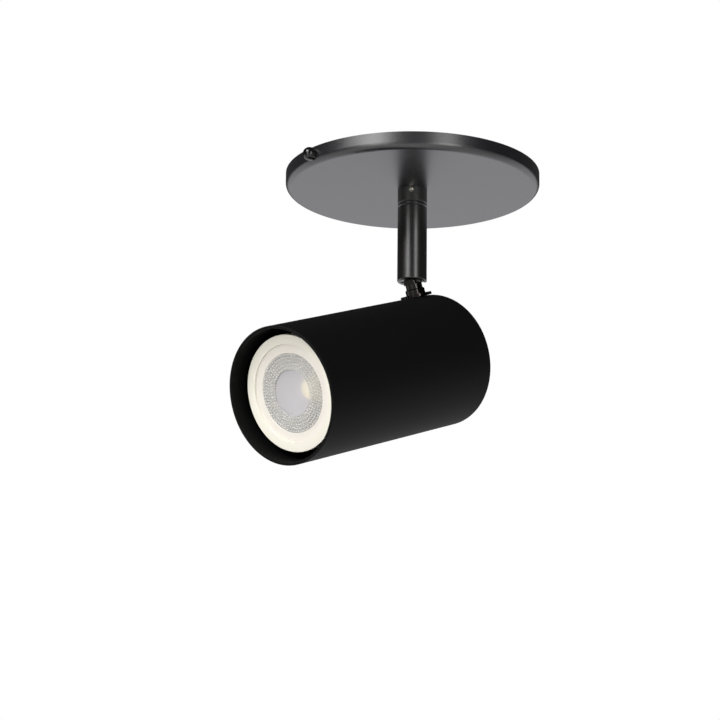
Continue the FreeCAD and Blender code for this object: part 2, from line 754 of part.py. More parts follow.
def make_knuckle():
    """The hollow knuckle: tongue, neck, shoulder with two flats, and threaded stud."""
    body = new_body("knuckle")
    tongue = new_sketch(body, "YZ_Plane")
    radius, drop = "tongue_radius", "0 - neck_drop"
    size = value(radius)
    arc = tongue.addGeometry(
        Part.ArcOfCircle(Part.Circle(Vector(), Vector(0, 0, 1), size), 0, math.pi)
    )
    pin_point(tongue, arc, 3, "0", "0")
    pin_point(tongue, arc, 1, radius, "0")
    tongue.addConstraint(Sketcher.Constraint("PointOnObject", arc, 2, -1))
    low = value(drop)
    left = tongue.addGeometry(Part.LineSegment(Vector(-size, 0, 0), Vector(-size, low, 0)))
    base = tongue.addGeometry(Part.LineSegment(Vector(-size, low, 0), Vector(size, low, 0)))
    right = tongue.addGeometry(Part.LineSegment(Vector(size, low, 0), Vector(size, 0, 0)))
    chain = [(arc, 2, left, 1), (left, 2, base, 1), (base, 2, right, 1), (right, 2, arc, 1)]
    for link in chain:
        tongue.addConstraint(Sketcher.Constraint("Coincident", *link))
    pin_point(tongue, base, 1, f"0 - {radius}", drop)
    pin_point(tongue, base, 2, radius, drop)
    pad(body, tongue, "tongue_thickness", both_ways=True)
    uprights = [
        f"Edge{index}"
        for index, edge in enumerate(body.Shape.Edges, start=1)
        if isinstance(edge.Curve, Part.Line) and abs(edge.tangentAt(edge.FirstParameter).z) > 0.99
    ]
    dress(body, "Fillet", "tongue_edge_radius", uprights)
    neck = new_sketch(body, "XY_Plane", "0 - shoulder_drop")
    circle(neck, "neck_dia")
    pad(body, neck, "shoulder_drop - neck_drop")
    shoulder = new_sketch(body, "XY_Plane", f"0 - ({WASHER_TOP})")
    circle(shoulder, "shoulder_dia")
    pad(body, shoulder, "shoulder_height")
    bevel_edges(body, "shoulder_chamfer", ("shoulder_dia", "0 - shoulder_drop"))
    for side in ("", "0 - "):
        flat = new_sketch(body, "XY_Plane", f"0 - ({WASHER_TOP})")
        near, far, reach = "shoulder_across / 2", "shoulder_dia", "shoulder_dia"
        corners = [(near, f"0 - {reach}"), (far, f"0 - {reach}"), (far, reach), (near, reach)]
        polygon(flat, [(f"{side}{x}" if side else x, y) for x, y in corners])
        pocket(body, flat, "shoulder_height", reverse=True)
    stud = new_sketch(body, "XY_Plane", f"0 - ({WASHER_TOP})")
    circle(stud, "stud_dia")
    reach = value(HEAD_AXIS) - strap_top() + value("strap_thickness + stud_nut_height + stud_proud")
    pad(body, stud, str(reach - value(WASHER_TOP)), downwards=True)
    bore = new_sketch(body, "XY_Plane", f"0 - {reach}")
    circle(bore, "stud_bore_dia")
    pocket(body, bore, reverse=True)
    hole = new_sketch(body, "YZ_Plane")
    circle(hole, "pin_dia + 2 * running_clearance")
    pocket(body, hole, both_ways=True)
    tilted(body)


def make_head_fixings():
    """The toothed washer outside the head, and the nut under the strap inside it."""
    washer = toothed_washer(
        "toothed_washer",
        "washer_dia",
        "stud_dia + 2 * running_clearance",
        "washer_thickness",
        "washer_teeth",
    )
    tilted(washer, Vector(0, 0, -value(HEAD_SKIN)))
    fixing = nut("stud_nut", "stud_nut_across", "stud_nut_height", "stud_dia")
    level = strap_top() - value("strap_thickness + stud_nut_height") - value(HEAD_AXIS)
    tilted(fixing, Vector(0, 0, level))


# ---------------------------------------------------------------- what tilts: head and lamp


def in_head(body):
    """Places a body of the mouth frame."""
    mouth = Vector(0, -value("mouth_to_stud"), -value(HEAD_AXIS))
    tilted(body, mouth, Rotation(Vector(1, 0, 0), 90))


def make_housing():
    """The drawn shell: a plain cylinder, closed at the back and open at the mouth."""
    body = new_body("head_housing")
    skin, bore = "head_dia / 2", "head_dia / 2 - head_wall"
    back, floor = "0 - head_length", "head_wall - head_length"
    revolve(
        body, [("0", back), (skin, back), (skin, "0"), (bore, "0"), (bore, floor), ("0", floor)]
    )
    round_edges(body, "head_back_radius", ("head_dia", back))
    bevel_edges(body, "mouth_chamfer", ("head_dia", "0"), ("head_dia - 2 * head_wall", "0"))
    hole = new_sketch(body, "XZ_Plane")
    circle(hole, "stud_dia + 2 * hole_clearance", "0", "0 - mouth_to_stud")
    pocket(body, hole, "head_dia", reverse=False)
    in_head(body)


LAMP_END = "lamp_inset + lamp_length"


def make_lamp_shell():
    """The white lamp body: rim, cup and base, hollow behind the lens."""
    body = new_body("lamp_shell")
    rim, inner_rim = "lamp_dia / 2", "lamp_dia / 2 - lamp_rim_width"
    cup, waist, base = "lamp_dia / 2 - 1.6", "lamp_waist_dia / 2", "lamp_base_dia / 2"
    front = "0 - lamp_inset"
    ledge = f"{front} - lens_recess - lens_thickness"
    rim_back = f"{front} - lamp_rim_height"
    seat = f"{front} - board_depth"
    waist_level = f"{front} - lamp_waist_depth"
    end = f"0 - ({LAMP_END})"
    base_top = f"{end} + lamp_base_length"
    floor_radius = "lamp_waist_dia / 2 + 1"
    revolve(
        body,
        [
            ("0", end),
            (base, end),
            (base, base_top),
            (waist, f"{base_top} + 3"),
            (waist, waist_level),
            (cup, f"{rim_back} - 1.2"),
            (rim, rim_back),
            (rim, front),
            (inner_rim, front),
            (inner_rim, ledge),
            (f"{inner_rim} - 1.2", ledge),
            (floor_radius, seat),
            (f"{base} - 2", seat),
            (f"{base} - lamp_wall", f"{seat} - board_thickness - 2"),
            (f"{base} - lamp_wall", f"{end} + lamp_wall"),
            ("0", f"{end} + lamp_wall"),
        ],
    )
    in_head(body)


def make_lens():
    """The moulded lens: a clear middle over a cone, and rings of facets round it."""
    body = new_body("lamp_lens")
    face = "0 - lamp_inset - lens_recess"
    back = f"{face} - lens_thickness"
    chip_face = "board_thickness + chip_thickness + 0.4 - lamp_inset - board_depth"
    corners = [("0", f"{chip_face}"), ("collimator_dia / 2", f"{chip_face}")]
    corners += [("lens_ring_inner_dia / 2 + 1.5", back), ("lamp_dia / 2 - lamp_rim_width", back)]
    corners.append(("lamp_dia / 2 - lamp_rim_width", face))
    for ring in reversed(range(int(value("lens_ring_count")))):
        inner = f"lens_ring_inner_dia / 2 + {ring} * lens_ring_pitch"
        corners.append((f"{inner} + lens_ring_pitch * 0.9", face))
        corners.append((f"{inner} + lens_ring_pitch / 2", f"{face} - lens_ring_depth"))
        corners.append((f"{inner} + lens_ring_pitch * 0.1", face))
    corners.append(("0", face))
    revolve(body, corners)
    in_head(body)


def make_light_source():
    """The board on its seat in the lamp, and the phosphor disc on it."""
    board = new_body("led_board")
    disc = new_sketch(board, "XY_Plane", "0 - lamp_inset - board_depth")
    circle(disc, "lamp_waist_dia")
    pad(board, disc, "board_thickness")
    in_head(board)
    chip = new_body("led_chip")
    disc = new_sketch(chip, "XY_Plane", "board_thickness - lamp_inset - board_depth")
    circle(disc, "chip_dia")
    pad(chip, disc, "chip_thickness")
    in_head(chip)


def make_lamp_pins():
    """Two stepped contact pins: the wide ends lock behind the holder's face."""
    for name, side in (("lamp_pin_left", -1), ("lamp_pin_right", 1)):
        body = new_body(name)
        neck, head = "pin_neck_dia / 2", "pin_head_dia / 2"
        step = "0 - pin_neck_length"
        end = f"{step} - pin_head_length"
        revolve(body, [("0", end), (head, end), (head, step), (neck, step), (neck, "0"), ("0", "0")])
        bevel_edges(body, "groove_chamfer", ("pin_head_dia", end))
        mouth = Vector(0, -value("mouth_to_stud"), -value(HEAD_AXIS))
        forwards = Rotation(Vector(1, 0, 0), 90)
        place = forwards.multVec(Vector(side * value("pin_spacing / 2"), 0, -value(LAMP_END)))
        tilted(body, mouth + place, forwards)


def arc_channel(name, width, depth, top):
    """Solids that together fill two curved channels, each lamp_twist long, for the lamp's pins."""
    ring_out, ring_in = f"pin_spacing + {width}", f"pin_spacing - {width}"
    solids = []
    for side in (0, 1):
        outer = cylinder(f"{name}_outer{side}", ring_out, depth, z=top, angle="lamp_twist")
        inner = cylinder(f"{name}_inner{side}", ring_in, depth, z=top, angle="lamp_twist")
        sector = doc.addObject("Part::Cut", f"{name}_sector{side}")
        sector.Base, sector.Tool = outer, inner
        sector.Placement = Placement(Vector(), Rotation(Vector(0, 0, 1), 180 * side))
        solids.append(sector)
        sign = "0 - " if side else ""
        for end, angle in (("locked", "0"), ("free", "lamp_twist")):
            x = f"{sign}pin_spacing / 2 * cos({angle})"
            y = f"{sign}pin_spacing / 2 * sin({angle})"
            solids.append(cylinder(f"{name}_{end}{side}", width, depth, x, y, top))
    return solids


def make_lamp_holder():
    """The ceramic holder: two key-hole channels in its face, and a chamber behind them."""
    face = f"0 - ({LAMP_END})"
    back = f"{face} - holder_length"
    base = cylinder("holder_blank", "holder_dia", "holder_length", z=back)
    neck_width = "pin_neck_dia + 2 * free_clearance"
    head_width = "pin_head_dia + 2 * free_clearance"
    chamber = f"{face} - holder_face - holder_chamber"
    tools = arc_channel("neck_way", neck_width, "holder_face + holder_chamber", chamber)
    tools += arc_channel("head_way", head_width, "holder_chamber", chamber)
    for side in ("", "0 - "):
        x = f"{side}pin_spacing / 2 * cos(lamp_twist)"
        y = f"{side}pin_spacing / 2 * sin(lamp_twist)"
        depth = "holder_face + holder_chamber"
        tools.append(cylinder("entry", head_width, depth, x, y, chamber))
        y = f"{side}holder_screw_spacing / 2"
        tools.append(cylinder("screw_way", "holder_screw_dia", "holder_screw_length", "0", y, back))
    body = subtract("lamp_holder", base, tools)
    in_head(body)


STRAP_FACE = f"{LAMP_END} + holder_length"


def make_strap():
    """The bent strap: its foot is clamped by the stud's nut, its upright carries the holder."""
    body = new_body("holder_strap")
    profile = new_sketch(body, "YZ_Plane")
    top = str(strap_top())
    under = f"{top} - strap_thickness"
    face, rear = f"0 - ({STRAP_FACE})", f"0 - ({STRAP_FACE}) - strap_thickness"
    tail = "0 - mouth_to_stud - strap_tail"
    low = "0 - strap_below_axis"
    corners = [(low, face), (top, face), (top, tail), (under, tail), (under, rear), (low, rear)]
    polygon(profile, corners)
    pad(body, profile, "strap_width", both_ways=True)
    bends = {value(top): "strap_bend_radius + strap_thickness", value(under): "strap_bend_radius"}
    levels = {value(top): value(face), value(under): value(rear)}
    for height, size in bends.items():
        edges = [
            f"Edge{index}"
            for index, edge in enumerate(body.Shape.Edges, start=1)
            if abs(edge.CenterOfMass.y - height) < 1e-4
            and abs(edge.CenterOfMass.z - levels[height]) < 1e-4
        ]
        dress(body, "Fillet", size, edges)
    holes = new_sketch(body, "XY_Plane", face)
    circle(holes, "strap_wire_hole_dia")
    for side in ("", "0 - "):
        diameter = "holder_screw_dia + 2 * hole_clearance"
        circle(holes, diameter, "0", f"{side}holder_screw_spacing / 2")
    pocket(body, holes, "strap_thickness * 2")
    stud_hole = new_sketch(body, "XZ_Plane")
    circle(stud_hole, "stud_dia + 2 * hole_clearance", "0", "0 - mouth_to_stud")
    pocket(body, stud_hole, "head_dia", reverse=False)
    in_head(body)


def make_holder_screws():
    """Two screws through the strap into the holder's back."""
    mouth = Vector(0, -value("mouth_to_stud"), -value(HEAD_AXIS))
    forwards = Rotation(Vector(1, 0, 0), 90)
    for name, side in (("holder_screw_upper", 1), ("holder_screw_lower", -1)):
        screw = domed_screw(
            name,
            "holder_screw_head_dia",
            "holder_screw_head_height",
            "holder_screw_head_height * 0.7",
            "holder_screw_dia",
            "holder_screw_length",
        )
        cross_recess(screw, "holder_screw_head_height")
        seat = Vector(0, side * value("holder_screw_spacing / 2"), 0)
        seat.z = -value(f"{STRAP_FACE} + strap_thickness")
        head_back = forwards.multiply(Rotation(Vector(1, 0, 0), 180))
        tilted(screw, mouth + forwards.multVec(seat), head_back)


# ---------------------------------------------------------------- build, check, write


def build_all():
    make_canopy()
    make_bracket()
    make_thumb_screw()
    make_earth_terminal()
    make_hollow_bolt()
    make_bolt_fixings()
    make_collar()
    make_set_screw()
    make_friction_ring()
    make_spring_washer()
    make_stem()
    make_fork()
    make_tilt_pin()
    make_friction_washers()
    make_knuckle()
    make_head_fixings()
    make_housing()
    make_lamp_shell()
    make_lens()
    make_light_source()
    make_lamp_pins()
    make_lamp_holder()
    make_strap()
    make_holder_screws()
    doc.recompute()


def check_all():
    """Stops if any object failed, or if a part isn't a sound solid."""
    for thing in doc.Objects:
        bad = [state for state in thing.State if state in ("Invalid", "Error")]
        if bad:
            raise RuntimeError(f"{thing.Label} is {bad}")
    for name, thing in parts.items():
        shape = thing.Shape
        if shape.isNull() or not shape.isValid() or not shape.Solids:
            raise RuntimeError(f"{name} has no sound solid")


def write_all():
    os.makedirs("parts", exist_ok=True)
    for name, thing in parts.items():
        thing.Shape.exportStep(os.path.join("parts", f"{name}.step"))
        box = thing.Shape.BoundBox
        size = f"{box.XLength:.1f} x {box.YLength:.1f} x {box.ZLength:.1f}"
        print(f"{name:24s} {size:26s} volume {thing.Shape.Volume:10.1f}")


build_all()
check_all()
write_all()
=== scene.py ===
# %% [markdown]
# # A ceiling spotlight, dressed for its picture
#
# The lamp comes in as a CAD frame: every piece is already at its real size and place, in metres.
# What is left to do here is the work of a paint shop and a photo studio. Each piece gets its
# finish, the lens gets its small moulded facets, and the lamp is hung in a pale, soft studio.

import json
import math

import bmesh
import bpy
from mathutils import Matrix, Vector


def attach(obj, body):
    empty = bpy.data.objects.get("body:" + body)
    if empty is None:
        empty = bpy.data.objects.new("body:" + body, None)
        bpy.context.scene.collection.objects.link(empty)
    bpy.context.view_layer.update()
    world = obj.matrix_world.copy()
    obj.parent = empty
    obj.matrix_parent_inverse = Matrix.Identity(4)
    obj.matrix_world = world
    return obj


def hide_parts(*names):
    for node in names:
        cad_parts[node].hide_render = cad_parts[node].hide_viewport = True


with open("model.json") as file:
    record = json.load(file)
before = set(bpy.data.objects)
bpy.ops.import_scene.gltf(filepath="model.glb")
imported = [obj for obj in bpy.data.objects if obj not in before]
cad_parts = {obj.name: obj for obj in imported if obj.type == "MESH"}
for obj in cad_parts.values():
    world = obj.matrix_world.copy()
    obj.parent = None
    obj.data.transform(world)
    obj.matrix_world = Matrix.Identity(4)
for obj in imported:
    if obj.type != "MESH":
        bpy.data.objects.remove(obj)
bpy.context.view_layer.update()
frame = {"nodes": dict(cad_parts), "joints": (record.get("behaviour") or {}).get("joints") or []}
MM = 0.001

# %% [markdown]
# ## Where the head points
#
# The head is swivelled a little and tilted below the horizontal. Its mouth and its axis are read
# from the joint that turns the lamp, so nothing here has to be measured again. Pieces that are
# modelled new are built at the origin, facing up, and are then laid into that place.

# %% The mouth of the head, from the lamp's own joint
twist = next(joint for joint in frame["joints"] if joint["name"] == "lamp_twist")
tilt_joint = next(joint for joint in frame["joints"] if joint["name"] == "head_tilt")
mouth = Vector(twist["pos_m"])
out_of_mouth = Vector(twist["axis"]).normalized()
sideways = Vector(tilt_joint["axis"]).normalized()
towards_stud = out_of_mouth.cross(sideways)
mouth_place = Matrix.Translation(mouth) @ Matrix(
    (sideways, towards_stud, out_of_mouth)
).transposed().to_4x4()
print("mouth at", tuple(round(value / MM, 1) for value in mouth), "mm")


def front_of(node):
    """How far in front of the mouth a node ends, in metres; behind the mouth is negative."""
    corners = [vertex.co for vertex in frame["nodes"][node].data.vertices]
    return max((corner - mouth).dot(out_of_mouth) for corner in corners)


lens_face = front_of("lamp_lens")
print("lens face", round(lens_face / MM, 2), "mm from the mouth")

# %% [markdown]
# ## Colours and a helper for materials
#
# Colours are written as a paint chart gives them, as sRGB hex values, and one function turns them
# into the linear values that the shader adds up. Every finish starts from Principled BSDF, and a
# second small function adds any further node with its settings and links.

# %% Colour and node helpers


def linear(part):
    """One sRGB value from 0 to 1, as the linear value that a shader adds up."""
    return part / 12.92 if part <= 0.04045 else ((part + 0.055) / 1.055) ** 2.4


def chart(code):
    """A linear RGBA colour from an sRGB hex value."""
    return [linear(int(code[start : start + 2], 16) / 255) for start in (1, 3, 5)] + [1]


def finish_of(name, colour, roughness, metallic=0.0, **sockets):
    """A new material whose shader has these settings; a _ in a socket's name is a space."""
    material = bpy.data.materials.new(name)
    material.use_nodes = True
    shader = material.node_tree.nodes["Principled BSDF"]
    shader.inputs["Base Color"].default_value = chart(colour)
    shader.inputs["Roughness"].default_value = roughness
    shader.inputs["Metallic"].default_value = metallic
    for socket, setting in sockets.items():
        shader.inputs[socket.replace("_", " ")].default_value = setting
    return material


def add_node(material, kind, links=(), settings=(), **inputs):
    """Adds a node: settings are its own properties, inputs its sockets, links (socket, source)."""
    node = material.node_tree.nodes.new(kind)
    for name, setting in settings:
        setattr(node, name, setting)
    for name, setting in inputs.items():
        node.inputs[name.replace("_", " ")].default_value = setting
    for socket, source in links:
        material.node_tree.links.new(source, node.inputs[socket])
    return node


def set_bump(material, height, height_mm):
    """Lets a pattern's height lift the surface of a finish by up to height_mm."""
    bump = add_node(material, "ShaderNodeBump", links=[("Height", height)], Distance=height_mm * MM)
    shader = material.node_tree.nodes["Principled BSDF"]
    material.node_tree.links.new(bump.outputs["Normal"], shader.inputs["Normal"])


def paint_grain(material, grain_mm, height_mm):
    """The fine orange peel of a sprayed coat, as a bump on the piece's own coordinates."""
    place = add_node(material, "ShaderNodeTexCoord")
    noise = add_node(
        material,
        "ShaderNodeTexNoise",
        links=[("Vector", place.outputs["Object"])],
        Scale=1 / (grain_mm * MM),
        Detail=2.0,
    )
    set_bump(material, noise.outputs["Fac"], height_mm)


def turned_lines(material, spacing_mm, height_mm):
    """The fine rings a lathe tool leaves round a turned piece, one every spacing_mm along Z."""
    place = add_node(material, "ShaderNodeTexCoord")
    wave_of_scale_one = 2 * math.pi / 20
    rings = add_node(
        material,
        "ShaderNodeTexWave",
        settings=[("wave_type", "BANDS"), ("bands_direction", "Z")],
        links=[("Vector", place.outputs["Object"])],
        Scale=wave_of_scale_one / (spacing_mm * MM),
        Distortion=1.5,
        Detail=2.0,
    )
    set_bump(material, rings.outputs["Fac"], height_mm)


# %% [markdown]
# ## The black paints
#
# Canopy, stem and head are taken to be steel with a black powder coat. A coat is a plastic, so its
# colour is dark and it isn't metallic. The eye tells the coats apart by their sheen: the canopy is
# satin and mirrors the pale floor softly, the stem and its collar show the fine lines of the lathe
# under the coat, and the head is so matte that it stays black nearly everywhere.

# %% Powder coats
canopy_coat = finish_of("satin black powder coat", "#0E0E12", 0.33, Specular_IOR_Level=1.0)
paint_grain(canopy_coat, grain_mm=0.9, height_mm=0.003)
stem_coat = finish_of("satin black stem coat", "#100E0D", 0.30, Specular_IOR_Level=0.8)
turned_lines(stem_coat, spacing_mm=0.5, height_mm=0.0012)
collar_coat = finish_of("satin black collar coat", "#1A1918", 0.44, Specular_IOR_Level=0.7)
turned_lines(collar_coat, spacing_mm=0.7, height_mm=0.006)
head_coat = finish_of("matte black powder coat", "#050505", 0.66, Specular_IOR_Level=0.12)
paint_grain(head_coat, grain_mm=0.5, height_mm=0.006)
screw_black = finish_of("black oxide on steel", "#0A0A0A", 0.14)
print("coats:", canopy_coat.name, "/", stem_coat.name, "/", head_coat.name)

# %% [markdown]
# ## Metals
#
# The platings are guesses from products of this kind. The set screw and the lamp's pins are
# nickel-plated and the tilt joint is plated in black nickel. The crossbar, the nuts, the bolt's
# washer and the holder's strap, which hide above the canopy or in the head, are zinc-plated. The
# other small turned pieces are plain steel or, at the earth screw, brass. A metal's colour is the
# colour of its mirror image, and metallic is 1.

# %% Plated metals
nickel = finish_of("polished nickel plate", "#D8D4CC", 0.16, metallic=1.0)
black_nickel = finish_of("black nickel plate", "#343130", 0.15, metallic=1.0)
zinc = finish_of("zinc plate", "#B9BDC0", 0.38, metallic=1.0)
turned_steel = finish_of("turned steel", "#A9A8A6", 0.34, metallic=1.0)
brass = finish_of("turned brass", "#D9B25F", 0.28, metallic=1.0)
print("metals:", len([nickel, black_nickel, zinc, turned_steel, brass]))

# %% [markdown]
# ## The lamp's own materials
#
# The lamp body is a warm white thermoplastic, moulded and slightly glossy. The lens is acrylic:
# clear over the facets, frosted on the band round its rim, and a little milky in the middle.
# Behind it lies a white board, and on that the yellow phosphor that makes the light when the lamp
# is switched on. Here it is off. The weak emission on the phosphor is a painted glow, set so that
# its yellow shows through the lens; the real one has none. The dish's refractive index of 1.15 is
# likewise a chosen value, where acrylic has 1.49.

# %% Lamp plastics, porcelain and phosphor
lamp_white = finish_of("moulded white thermoplastic", "#EAE6D9", 0.35, IOR=1.5)
clear_acrylic = finish_of(
    "clear acrylic", "#F3F1ED", 0.10, Transmission_Weight=0.55, IOR=1.49
)
frosted_acrylic = finish_of(
    "frosted acrylic", "#EAE4DB", 0.45, Transmission_Weight=0.12, IOR=1.49
)
lens_middle = finish_of(
    "acrylic of the dish", "#EFECF0", 0.22, Transmission_Weight=0.62, IOR=1.15
)
board_white = finish_of("white solder mask", "#E4E6E4", 0.45)
# The chip's emission is a painted glow: the real chip gives no light while the lamp is off.
phosphor = finish_of(
    "silicone with phosphor and a painted glow",
    "#F2E28C",
    0.4,
    Emission_Color=chart("#F4E9A6"),
    Emission_Strength=0.9,
)
porcelain = finish_of("unglazed porcelain", "#E2DED3", 0.6)
print("lens finishes:", clear_acrylic.name, "/", frosted_acrylic.name, "/", lens_middle.name)

# %% [markdown]
# ## Handing out the finishes
#
# A table says which node gets which finish. The CAD meshes are left as they are, and only the
# material in their slot changes.

# %% Finishes on the CAD pieces
FINISHES = {
    canopy_coat: ["canopy_cover"],
    stem_coat: ["friction_ring", "stem_tube"],
    collar_coat: ["swivel_collar"],
    head_coat: ["head_housing"],
    screw_black: ["canopy_screw"],
    nickel: ["set_screw", "lamp_pin_left", "lamp_pin_right"],
    black_nickel: ["knuckle", "toothed_washer", "pivot_fork"],
    zinc: ["mounting_bracket", "bolt_washer", "bolt_nut", "stud_nut", "holder_strap"],
    turned_steel: [
        "hollow_bolt",
        "spring_washer",
        "tilt_pin",
        "friction_washer_left",
        "friction_washer_right",
        "holder_screw_upper",
        "holder_screw_lower",
    ],
    brass: ["earth_screw", "earth_washer"],
    lamp_white: ["lamp_shell"],
    clear_acrylic: ["lamp_lens"],
    board_white: ["led_board"],
    phosphor: ["led_chip"],
    porcelain: ["lamp_holder"],
}
for material, nodes in FINISHES.items():
    for node in nodes:
        mesh = frame["nodes"][node].data
        mesh.materials.clear()
        mesh.materials.append(material)
print("finished", sum(len(nodes) for nodes in FINISHES.values()), "of", len(frame["nodes"]))

# %% [markdown]
# ## The lens
#
# The real lens is one moulding. A frosted band runs round its rim, then come rings of small
# facets that spread the beam, and in the middle a smooth dish looks down on the light source.
# A disc is inset again and again to give the band, one groove for each ring of facets, and the
# dish. The facets are low domes: one is modelled and copied round every groove.

# %% The lens's disc, grooves and dish
ROUND_SIDES = 96
LENS_RADIUS = 21.1 * MM
LENS_THICKNESS = 1.7 * MM
BAND_INNER_RADIUS = 17.4 * MM
GROOVE_WALL = 0.2 * MM
GROOVE_FLOOR = 1.05 * MM
GROOVE_DEPTH = 0.25 * MM
GROOVE_COUNT = 5
LIP_WIDTH = 0.3 * MM
LIP_DEPTH = 0.4 * MM
DISH_STEPS = 5
DISH_DEPTH = 0.5 * MM


def pick_top_face(disc):
    """In edit mode, selects only the face that lies highest on a disc."""
    mesh = bmesh.from_edit_mesh(disc.data)
    top = max(mesh.faces, key=lambda face: face.calc_center_median().z)
    for face in mesh.faces:
        face.select = face is top
    bmesh.update_edit_mesh(disc.data)


def step_in(width, lift=0.0):
    """Insets what is selected and lifts the new inner face."""
    bpy.ops.mesh.inset(thickness=width)
    if lift:
        bpy.ops.transform.translate(value=(0, 0, lift))


bpy.ops.object.select_all(action="DESELECT")
bpy.ops.mesh.primitive_cylinder_add(
    vertices=ROUND_SIDES,
    radius=LENS_RADIUS,
    depth=LENS_THICKNESS,
    location=(0, 0, -LENS_THICKNESS / 2),
)
lens = bpy.context.object
lens.name = "faceted_lens"
bpy.ops.object.transform_apply(location=True, rotation=True, scale=True)
bpy.ops.object.mode_set(mode="EDIT")
pick_top_face(lens)
step_in(LENS_RADIUS - BAND_INNER_RADIUS)
groove_middles = []
radius = BAND_INNER_RADIUS
for groove in range(GROOVE_COUNT):
    step_in(GROOVE_WALL, -GROOVE_DEPTH)
    step_in(GROOVE_FLOOR)
    step_in(GROOVE_WALL, GROOVE_DEPTH)
    groove_middles.append(radius - GROOVE_WALL - GROOVE_FLOOR / 2)
    radius -= 2 * GROOVE_WALL + GROOVE_FLOOR
dish_radius = radius
step_in(LIP_WIDTH, -LIP_DEPTH)
for step in range(DISH_STEPS):
    step_in(dish_radius / (DISH_STEPS + 1), -DISH_DEPTH / DISH_STEPS)
bpy.ops.object.mode_set(mode="OBJECT")
print("grooves at", [round(value / MM, 2) for value in groove_middles], "mm")
print("dish radius", round(dish_radius / MM, 2), "mm")

# %% [markdown]
# A facet starts as a small sphere. Its lower part is cut off and it is pressed flat, so that it
# stands out of its groove like a bead of water. Every copy gets its own mesh, and all of them are
# joined to the disc at the end.

# %% The facets
FACET_RADIUS = 0.56 * MM
FACET_PITCH = 1.32 * MM
FACET_FLATNESS = 0.75
FACET_CUT = -0.1 * MM
SHARP_FROM = math.radians(40)

bpy.ops.object.select_all(action="DESELECT")
bpy.ops.mesh.primitive_ico_sphere_add(subdivisions=2, radius=FACET_RADIUS)
facet = bpy.context.object
facet.scale.z = FACET_FLATNESS
bpy.ops.object.transform_apply(location=True, rotation=True, scale=True)
bpy.ops.object.mode_set(mode="EDIT")
bpy.ops.mesh.select_all(action="SELECT")
bpy.ops.mesh.bisect(
    plane_co=(0, 0, FACET_CUT), plane_no=(0, 0, 1), clear_inner=True, use_fill=True
)
bpy.ops.object.mode_set(mode="OBJECT")

facets = []
for number, radius in enumerate(groove_middles):
    count = round(2 * math.pi * radius / FACET_PITCH)
    for place in range(count):
        angle = 2 * math.pi * (place + 0.5 * (number % 2)) / count
        bead = bpy.data.objects.new("facet", facet.data.copy())
        bpy.context.collection.objects.link(bead)
        bead.location = (radius * math.cos(angle), radius * math.sin(angle), -GROOVE_DEPTH)
        facets.append(bead)
bpy.data.objects.remove(facet)
bpy.ops.object.select_all(action="DESELECT")
for bead in facets:
    bead.select_set(True)
lens.select_set(True)
bpy.context.view_layer.objects.active = lens
bpy.ops.object.join()
bpy.ops.object.shade_smooth_by_angle(angle=SHARP_FROM)
print("facets:", len(facets), "faces on the lens:", len(lens.data.polygons))

# %% [markdown]
# The lens is finished in three ways, picked by how far a face lies from the middle: the dish, the
# facets, and the frosted band. Then it is laid into the lamp and takes the CAD lens's place.

# %% Finishes and place of the lens
FACETS, BAND, DISH = range(3)
for finish in (clear_acrylic, frosted_acrylic, lens_middle):
    lens.data.materials.append(finish)
for face in lens.data.polygons:
    reach = math.hypot(face.center.x, face.center.y)
    if reach > BAND_INNER_RADIUS - GROOVE_WALL:
        face.material_index = BAND
    elif reach < dish_radius:
        face.material_index = DISH
    else:
        face.material_index = FACETS
lens.data.transform(mouth_place @ Matrix.Translation((0, 0, lens_face)))
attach(lens, "lamp")
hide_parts("lamp_lens")
print("lens laid in, face", round(lens_face / MM, 2), "mm from the mouth")

# %% [markdown]
# ## The studio
#
# The lamp hangs in a white room. The pale floor far below it is what the satin canopy mirrors, and
# that is why its black underside looks grey. Two settings here are made for the likeness and aren't
# how a room behaves. The floor shines for the camera and for mirror images, stronger
# than white and with no shadow on it, and it does so in mirror images on the lamp's far side only.
# The walls light the lamp but are all but left out of the mirror images, so that the edges of stem
# and skirt stay dark. For a true room, the floor is left as plain paint and the walls are mirrored.

# %% Directions
CAMERA_SIDE = 320
CAMERA_AZIMUTH = math.radians(CAMERA_SIDE)
AWAY = Vector((-math.cos(CAMERA_AZIMUTH), -math.sin(CAMERA_AZIMUTH), 0.0))


def brighter_away(material, coordinates, dim_at, bright_at, dimmest):
    """A value that rises from dimmest to 1 with the way gone from the camera's side."""
    along = add_node(
        material,
        "ShaderNodeVectorMath",
        settings=[("operation", "DOT_PRODUCT")],
        links=[(0, coordinates)],
    )
    along.inputs[1].default_value = AWAY
    rise = add_node(
        material,
        "ShaderNodeMapRange",
        links=[("Value", along.outputs["Value"])],
        From_Min=dim_at,
        From_Max=bright_at,
        To_Min=dimmest,
        To_Max=1.0,
    )
    return rise.outputs["Result"]


def join_values(material, operation, first, second):
    """One Math node on two values."""
    node = add_node(
        material,
        "ShaderNodeMath",
        settings=[("operation", operation)],
        links=[(0, first), (1, second)],
    )
    return node.outputs["Value"]


print("away from the camera:", tuple(round(value, 2) for value in AWAY))

# %% Floor
FLOOR_LEVEL = -0.62
FLOOR_SIZE = 12
FLOOR_GLOW = 1.2

